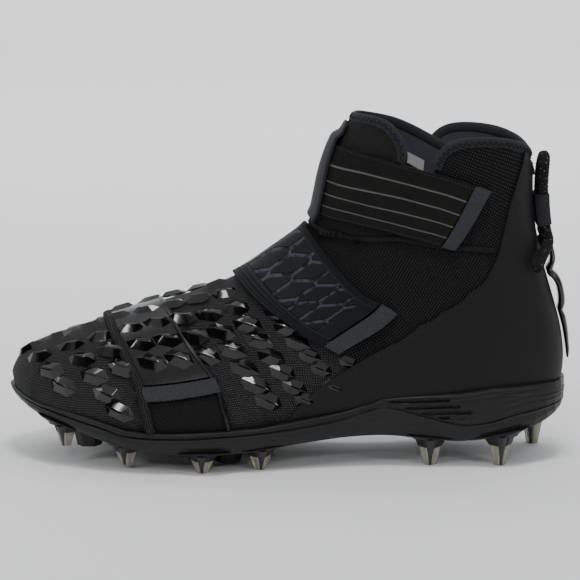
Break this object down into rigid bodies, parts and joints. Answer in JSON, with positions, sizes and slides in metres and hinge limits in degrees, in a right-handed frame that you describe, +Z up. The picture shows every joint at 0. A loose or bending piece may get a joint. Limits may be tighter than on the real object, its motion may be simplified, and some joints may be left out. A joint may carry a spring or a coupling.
{
  "type": "american football cleat",
  "caption": "High-cut studded football shoe with an ankle cuff, tongue flap, forefoot band, closing straps, heel spine and rope pull loop; hollow upper on a moulded plate.",
  "frame": {"origin": "centre of the bounding box in plan, on the ground under the studs", "axes": "+X towards the heel, +Y towards the inner side, +Z up"},
  "size_m": [0.3151, 0.107, 0.1922],
  "materials": {
    "black_mesh": "matt woven mesh",
    "matte_black_skin": "matt moulded film",
    "glossy_black_film": "glossy film",
    "black_sole_foam": "satin moulded foam",
    "black_plate": "satin moulded plastic",
    "smoky_stud_tip": "smoky translucent plastic",
    "elastic_black": "ribbed elastic",
    "blue_black_strap": "embossed strap",
    "dark_grey_trim": "dark grey tape",
    "slate_lining": "soft lining",
    "flecked_rope": "braided rope with pale flecks",
    "glossy_spine": "glossy moulded plastic",
    "pale_tag": "pale woven tag"
  },
  "bodies": {
    "root": {"ankle_strap": "elastic_black", "ankle_strap_tab": "dark_grey_trim", "collar_binding": "dark_grey_trim", "flap_binding": "dark_grey_trim", "forefoot_band": "glossy_black_film", "forefoot_band_trim": "dark_grey_trim", "front_strip": "dark_grey_trim", "heel_panel": "matte_black_skin", "heel_spine": "glossy_spine", "inner_tag": "pale_tag", "insole": "slate_lining", "midfoot_strap": "blue_black_strap", "midfoot_strap_trim": "dark_grey_trim", "midsole": "black_sole_foam", "outsole_plate": "black_plate", "pull_rope": "flecked_rope", "pull_sleeve": "dark_grey_trim", "tongue_flap": "black_mesh", "upper": "black_mesh", "stud_outer_1": "smoky_stud_tip", "stud_outer_2": "smoky_stud_tip", "stud_outer_3": "smoky_stud_tip", "stud_outer_4": "smoky_stud_tip", "stud_inner_1": "smoky_stud_tip", "stud_inner_2": "smoky_stud_tip", "stud_inner_3": "smoky_stud_tip", "stud_inner_4": "smoky_stud_tip", "stud_heel_outer_front": "smoky_stud_tip", "stud_heel_outer_rear": "smoky_stud_tip", "stud_heel_inner_front": "smoky_stud_tip", "stud_heel_inner_rear": "smoky_stud_tip"}
  },
  "joints": []
}
